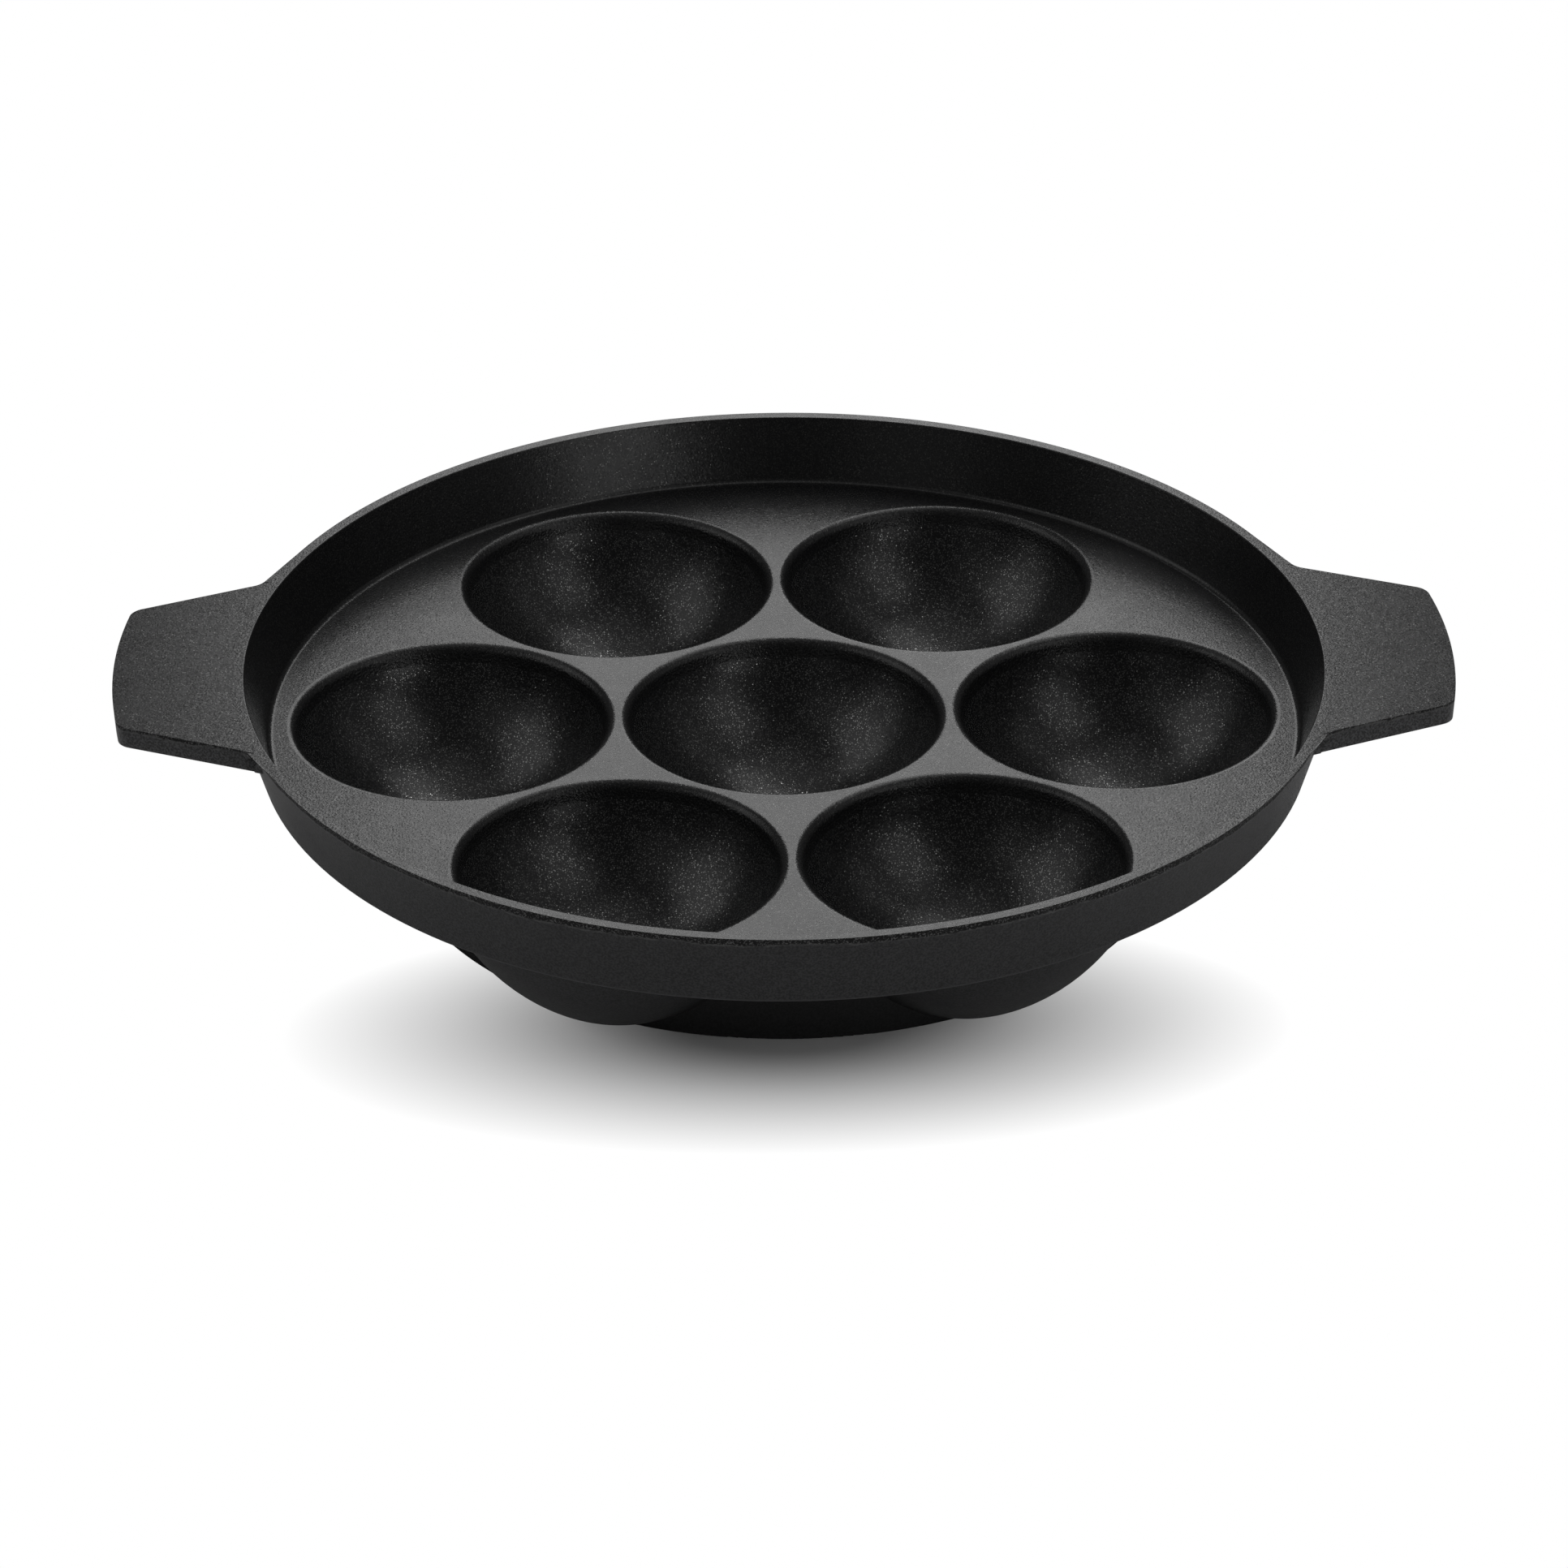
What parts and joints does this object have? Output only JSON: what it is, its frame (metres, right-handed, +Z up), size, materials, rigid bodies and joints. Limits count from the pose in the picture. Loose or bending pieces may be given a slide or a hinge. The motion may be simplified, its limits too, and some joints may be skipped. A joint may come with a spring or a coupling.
{
  "type": "aebleskiver pan",
  "caption": "Round aebleskiver pan: hemispherical cups sunk in a flat deck, a low flared wall, flat ear handles and a foot ring beneath.",
  "frame": {"origin": "centre of the centre cup's flat pad, on the surface that the pan stands on", "axes": "+Z up along the axis of the centre cup, +X to the right handle, +Y to the back of the pan"},
  "size_m": [0.2674, 0.22, 0.0415],
  "materials": {
    "dish_coating": "satin black non-stick coating with fine light speckles on cast aluminium",
    "cup_coating": "satin black non-stick coating with fine light speckles on cast aluminium",
    "foot_coating": "thin dark grey paint with a coarse grain on cast aluminium"
  },
  "bodies": {
    "root": {"rim_wall": "dish_coating", "deck_plate": "dish_coating", "centre_cup": "cup_coating", "right_cup": "cup_coating", "back_right_cup": "cup_coating", "back_left_cup": "cup_coating", "left_cup": "cup_coating", "front_left_cup": "cup_coating", "front_right_cup": "cup_coating", "right_back_foot": "foot_coating", "back_foot": "foot_coating", "left_back_foot": "foot_coating", "left_front_foot": "foot_coating", "front_foot": "foot_coating", "right_front_foot": "foot_coating", "left_handle": "dish_coating", "right_handle": "dish_coating"}
  },
  "joints": []
}
